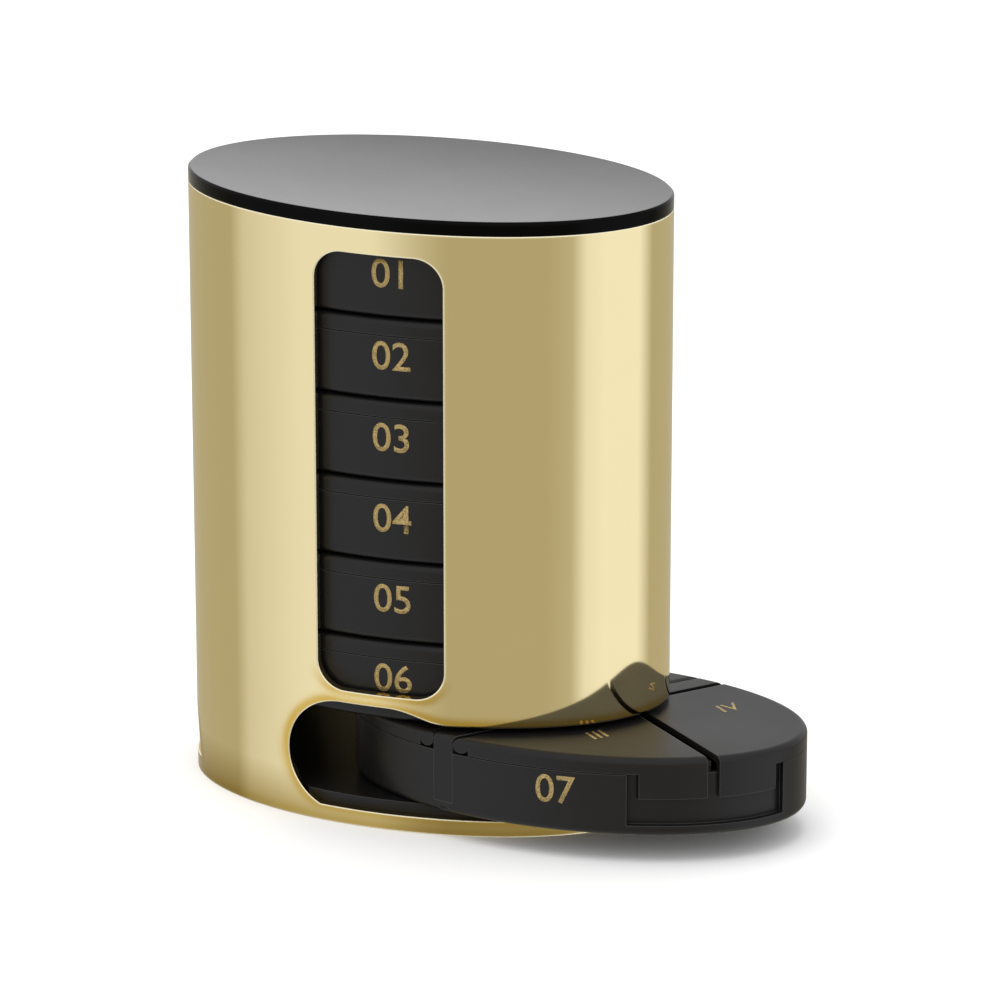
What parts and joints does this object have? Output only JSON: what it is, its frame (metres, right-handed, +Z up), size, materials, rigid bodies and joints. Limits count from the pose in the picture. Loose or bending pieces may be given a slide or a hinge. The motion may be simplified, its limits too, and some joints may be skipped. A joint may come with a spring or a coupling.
{
  "type": "stacking pill organizer",
  "caption": "Oval upright tower with a front window, a lift-off cover and a stack of oval pill trays with hinged lids, the lowest tray sliding out at the side.",
  "frame": {"origin": "centre of the oval base of the tower, on the surface that it stands on", "axes": "+X towards the side where the lowest tray slides out, +Y away from the window, +Z up"},
  "size_m": [0.1308, 0.0615, 0.1285],
  "materials": {
    "gold_plating": "mirror-bright gold plating",
    "cover_plastic": "satin with a gloss edge",
    "tray_plastic": "fine satin texture"
  },
  "bodies": {
    "tower": {"outer_shell": "gold_plating", "floor_plate": "tray_plastic"},
    "cover": {"cover": "cover_plastic"},
    "sunday": {"sunday_tray": "tray_plastic", "sunday_hinge_strip": "tray_plastic", "sunday_morning_lid": "tray_plastic", "sunday_noon_lid": "tray_plastic", "sunday_evening_lid": "tray_plastic", "sunday_bedtime_lid": "tray_plastic"},
    "saturday": {"saturday_tray": "tray_plastic", "saturday_hinge_strip": "tray_plastic"},
    "saturday_morning_lid": {"saturday_morning_lid": "tray_plastic"},
    "saturday_noon_lid": {"saturday_noon_lid": "tray_plastic"},
    "saturday_evening_lid": {"saturday_evening_lid": "tray_plastic"},
    "saturday_bedtime_lid": {"saturday_bedtime_lid": "tray_plastic"},
    "friday": {"friday_tray": "tray_plastic", "friday_hinge_strip": "tray_plastic"},
    "friday_morning_lid": {"friday_morning_lid": "tray_plastic"},
    "friday_noon_lid": {"friday_noon_lid": "tray_plastic"},
    "friday_evening_lid": {"friday_evening_lid": "tray_plastic"},
    "friday_bedtime_lid": {"friday_bedtime_lid": "tray_plastic"},
    "thursday": {"thursday_tray": "tray_plastic", "thursday_hinge_strip": "tray_plastic"},
    "thursday_morning_lid": {"thursday_morning_lid": "tray_plastic"},
    "thursday_noon_lid": {"thursday_noon_lid": "tray_plastic"},
    "thursday_evening_lid": {"thursday_evening_lid": "tray_plastic"},
    "thursday_bedtime_lid": {"thursday_bedtime_lid": "tray_plastic"},
    "wednesday": {"wednesday_tray": "tray_plastic", "wednesday_hinge_strip": "tray_plastic"},
    "wednesday_morning_lid": {"wednesday_morning_lid": "tray_plastic"},
    "wednesday_noon_lid": {"wednesday_noon_lid": "tray_plastic"},
    "wednesday_evening_lid": {"wednesday_evening_lid": "tray_plastic"},
    "wednesday_bedtime_lid": {"wednesday_bedtime_lid": "tray_plastic"},
    "tuesday": {"tuesday_tray": "tray_plastic", "tuesday_hinge_strip": "tray_plastic"},
    "tuesday_morning_lid": {"tuesday_morning_lid": "tray_plastic"},
    "tuesday_noon_lid": {"tuesday_noon_lid": "tray_plastic"},
    "tuesday_evening_lid": {"tuesday_evening_lid": "tray_plastic"},
    "tuesday_bedtime_lid": {"tuesday_bedtime_lid": "tray_plastic"},
    "monday": {"monday_tray": "tray_plastic", "monday_hinge_strip": "tray_plastic"},
    "monday_morning_lid": {"monday_morning_lid": "tray_plastic"},
    "monday_noon_lid": {"monday_noon_lid": "tray_plastic"},
    "monday_evening_lid": {"monday_evening_lid": "tray_plastic"},
    "monday_bedtime_lid": {"monday_bedtime_lid": "tray_plastic"}
  },
  "joints": [
    {"name": "cover_lift", "type": "slide", "parent": "tower", "child": "cover", "axis": [0, 0, 1], "range_m": [0, 0.56]},
    {"name": "sunday_draw", "type": "slide", "parent": "tower", "child": "sunday", "axis": [0.9823, -0.1874, 0], "range_m": [-0.0343, 0.066]},
    {"name": "saturday_lift", "type": "slide", "parent": "tower", "child": "saturday", "axis": [0, 0, 1], "range_m": [0, 0.2]},
    {"name": "saturday_morning_lid_hinge", "type": "hinge", "parent": "saturday", "child": "saturday_morning_lid", "pos_m": [-0.00269, 0.00247, 0.03755], "axis": [0.6756, 0.7373, 0], "range_deg": [0, 90]},
    {"name": "saturday_noon_lid_hinge", "type": "hinge", "parent": "saturday", "child": "saturday_noon_lid", "pos_m": [-0.00269, 0.00247, 0.03755], "axis": [0.6756, 0.7373, 0], "range_deg": [0, 90]},
    {"name": "saturday_evening_lid_hinge", "type": "hinge", "parent": "saturday", "child": "saturday_evening_lid", "pos_m": [0.00269, -0.00247, 0.03755], "axis": [-0.6756, -0.7373, 0], "range_deg": [0, 90]},
    {"name": "saturday_bedtime_lid_hinge", "type": "hinge", "parent": "saturday", "child": "saturday_bedtime_lid", "pos_m": [0.00269, -0.00247, 0.03755], "axis": [-0.6756, -0.7373, 0], "range_deg": [0, 90]},
    {"name": "friday_lift", "type": "slide", "parent": "tower", "child": "friday", "axis": [0, 0, 1], "range_m": [0, 0.26]},
    {"name": "friday_morning_lid_hinge", "type": "hinge", "parent": "friday", "child": "friday_morning_lid", "pos_m": [-0.00269, 0.00247, 0.05445], "axis": [0.6756, 0.7373, 0], "range_deg": [0, 90]},
    {"name": "friday_noon_lid_hinge", "type": "hinge", "parent": "friday", "child": "friday_noon_lid", "pos_m": [-0.00269, 0.00247, 0.05445], "axis": [0.6756, 0.7373, 0], "range_deg": [0, 90]},
    {"name": "friday_evening_lid_hinge", "type": "hinge", "parent": "friday", "child": "friday_evening_lid", "pos_m": [0.00269, -0.00247, 0.05445], "axis": [-0.6756, -0.7373, 0], "range_deg": [0, 90]},
    {"name": "friday_bedtime_lid_hinge", "type": "hinge", "parent": "friday", "child": "friday_bedtime_lid", "pos_m": [0.00269, -0.00247, 0.05445], "axis": [-0.6756, -0.7373, 0], "range_deg": [0, 90]},
    {"name": "thursday_lift", "type": "slide", "parent": "tower", "child": "thursday", "axis": [0, 0, 1], "range_m": [0, 0.32]},
    {"name": "thursday_morning_lid_hinge", "type": "hinge", "parent": "thursday", "child": "thursday_morning_lid", "pos_m": [-0.00269, 0.00247, 0.07135], "axis": [0.6756, 0.7373, 0], "range_deg": [0, 90]},
    {"name": "thursday_noon_lid_hinge", "type": "hinge", "parent": "thursday", "child": "thursday_noon_lid", "pos_m": [-0.00269, 0.00247, 0.07135], "axis": [0.6756, 0.7373, 0], "range_deg": [0, 90]},
    {"name": "thursday_evening_lid_hinge", "type": "hinge", "parent": "thursday", "child": "thursday_evening_lid", "pos_m": [0.00269, -0.00247, 0.07135], "axis": [-0.6756, -0.7373, 0], "range_deg": [0, 90]},
    {"name": "thursday_bedtime_lid_hinge", "type": "hinge", "parent": "thursday", "child": "thursday_bedtime_lid", "pos_m": [0.00269, -0.00247, 0.07135], "axis": [-0.6756, -0.7373, 0], "range_deg": [0, 90]},
    {"name": "wednesday_lift", "type": "slide", "parent": "tower", "child": "wednesday", "axis": [0, 0, 1], "range_m": [0, 0.38]},
    {"name": "wednesday_morning_lid_hinge", "type": "hinge", "parent": "wednesday", "child": "wednesday_morning_lid", "pos_m": [-0.00269, 0.00247, 0.08825], "axis": [0.6756, 0.7373, 0], "range_deg": [0, 90]},
    {"name": "wednesday_noon_lid_hinge", "type": "hinge", "parent": "wednesday", "child": "wednesday_noon_lid", "pos_m": [-0.00269, 0.00247, 0.08825], "axis": [0.6756, 0.7373, 0], "range_deg": [0, 90]},
    {"name": "wednesday_evening_lid_hinge", "type": "hinge", "parent": "wednesday", "child": "wednesday_evening_lid", "pos_m": [0.00269, -0.00247, 0.08825], "axis": [-0.6756, -0.7373, 0], "range_deg": [0, 90]},
    {"name": "wednesday_bedtime_lid_hinge", "type": "hinge", "parent": "wednesday", "child": "wednesday_bedtime_lid", "pos_m": [0.00269, -0.00247, 0.08825], "axis": [-0.6756, -0.7373, 0], "range_deg": [0, 90]},
    {"name": "tuesday_lift", "type": "slide", "parent": "tower", "child": "tuesday", "axis": [0, 0, 1], "range_m": [0, 0.44]},
    {"name": "tuesday_morning_lid_hinge", "type": "hinge", "parent": "tuesday", "child": "tuesday_morning_lid", "pos_m": [-0.00269, 0.00247, 0.10515], "axis": [0.6756, 0.7373, 0], "range_deg": [0, 90]},
    {"name": "tuesday_noon_lid_hinge", "type": "hinge", "parent": "tuesday", "child": "tuesday_noon_lid", "pos_m": [-0.00269, 0.00247, 0.10515], "axis": [0.6756, 0.7373, 0], "range_deg": [0, 90]},
    {"name": "tuesday_evening_lid_hinge", "type": "hinge", "parent": "tuesday", "child": "tuesday_evening_lid", "pos_m": [0.00269, -0.00247, 0.10515], "axis": [-0.6756, -0.7373, 0], "range_deg": [0, 90]},
    {"name": "tuesday_bedtime_lid_hinge", "type": "hinge", "parent": "tuesday", "child": "tuesday_bedtime_lid", "pos_m": [0.00269, -0.00247, 0.10515], "axis": [-0.6756, -0.7373, 0], "range_deg": [0, 90]},
    {"name": "monday_lift", "type": "slide", "parent": "tower", "child": "monday", "axis": [0, 0, 1], "range_m": [0, 0.5]},
    {"name": "monday_morning_lid_hinge", "type": "hinge", "parent": "monday", "child": "monday_morning_lid", "pos_m": [-0.00269, 0.00247, 0.12205], "axis": [0.6756, 0.7373, 0], "range_deg": [0, 90]},
    {"name": "monday_noon_lid_hinge", "type": "hinge", "parent": "monday", "child": "monday_noon_lid", "pos_m": [-0.00269, 0.00247, 0.12205], "axis": [0.6756, 0.7373, 0], "range_deg": [0, 90]},
    {"name": "monday_evening_lid_hinge", "type": "hinge", "parent": "monday", "child": "monday_evening_lid", "pos_m": [0.00269, -0.00247, 0.12205], "axis": [-0.6756, -0.7373, 0], "range_deg": [0, 90]},
    {"name": "monday_bedtime_lid_hinge", "type": "hinge", "parent": "monday", "child": "monday_bedtime_lid", "pos_m": [0.00269, -0.00247, 0.12205], "axis": [-0.6756, -0.7373, 0], "range_deg": [0, 90]}
  ],
  "couplings": [
    {"joint": "saturday_lift", "follows": "cover_lift", "ratio": 0.35714},
    {"joint": "saturday_morning_lid_hinge", "follows": "cover_lift", "rad_per_m": 2.8019},
    {"joint": "saturday_noon_lid_hinge", "follows": "cover_lift", "rad_per_m": 2.8019},
    {"joint": "saturday_evening_lid_hinge", "follows": "cover_lift", "rad_per_m": 2.8019},
    {"joint": "saturday_bedtime_lid_hinge", "follows": "cover_lift", "rad_per_m": 2.8019},
    {"joint": "friday_lift", "follows": "cover_lift", "ratio": 0.46429},
    {"joint": "friday_morning_lid_hinge", "follows": "cover_lift", "rad_per_m": 2.8019},
    {"joint": "friday_noon_lid_hinge", "follows": "cover_lift", "rad_per_m": 2.8019},
    {"joint": "friday_evening_lid_hinge", "follows": "cover_lift", "rad_per_m": 2.8019},
    {"joint": "friday_bedtime_lid_hinge", "follows": "cover_lift", "rad_per_m": 2.8019},
    {"joint": "thursday_lift", "follows": "cover_lift", "ratio": 0.57143},
    {"joint": "thursday_morning_lid_hinge", "follows": "cover_lift", "rad_per_m": 2.8019},
    {"joint": "thursday_noon_lid_hinge", "follows": "cover_lift", "rad_per_m": 2.8019},
    {"joint": "thursday_evening_lid_hinge", "follows": "cover_lift", "rad_per_m": 2.8019},
    {"joint": "thursday_bedtime_lid_hinge", "follows": "cover_lift", "rad_per_m": 2.8019},
    {"joint": "wednesday_lift", "follows": "cover_lift", "ratio": 0.67857},
    {"joint": "wednesday_morning_lid_hinge", "follows": "cover_lift", "rad_per_m": 2.8019},
    {"joint": "wednesday_noon_lid_hinge", "follows": "cover_lift", "rad_per_m": 2.8019},
    {"joint": "wednesday_evening_lid_hinge", "follows": "cover_lift", "rad_per_m": 2.8019},
    {"joint": "wednesday_bedtime_lid_hinge", "follows": "cover_lift", "rad_per_m": 2.8019},
    {"joint": "tuesday_lift", "follows": "cover_lift", "ratio": 0.78571},
    {"joint": "tuesday_morning_lid_hinge", "follows": "cover_lift", "rad_per_m": 2.8019},
    {"joint": "tuesday_noon_lid_hinge", "follows": "cover_lift", "rad_per_m": 2.8019},
    {"joint": "tuesday_evening_lid_hinge", "follows": "cover_lift", "rad_per_m": 2.8019},
    {"joint": "tuesday_bedtime_lid_hinge", "follows": "cover_lift", "rad_per_m": 2.8019},
    {"joint": "monday_lift", "follows": "cover_lift", "ratio": 0.89286},
    {"joint": "monday_morning_lid_hinge", "follows": "cover_lift", "rad_per_m": 2.8019},
    {"joint": "monday_noon_lid_hinge", "follows": "cover_lift", "rad_per_m": 2.8019},
    {"joint": "monday_evening_lid_hinge", "follows": "cover_lift", "rad_per_m": 2.8019},
    {"joint": "monday_bedtime_lid_hinge", "follows": "cover_lift", "rad_per_m": 2.8019}
  ]
}
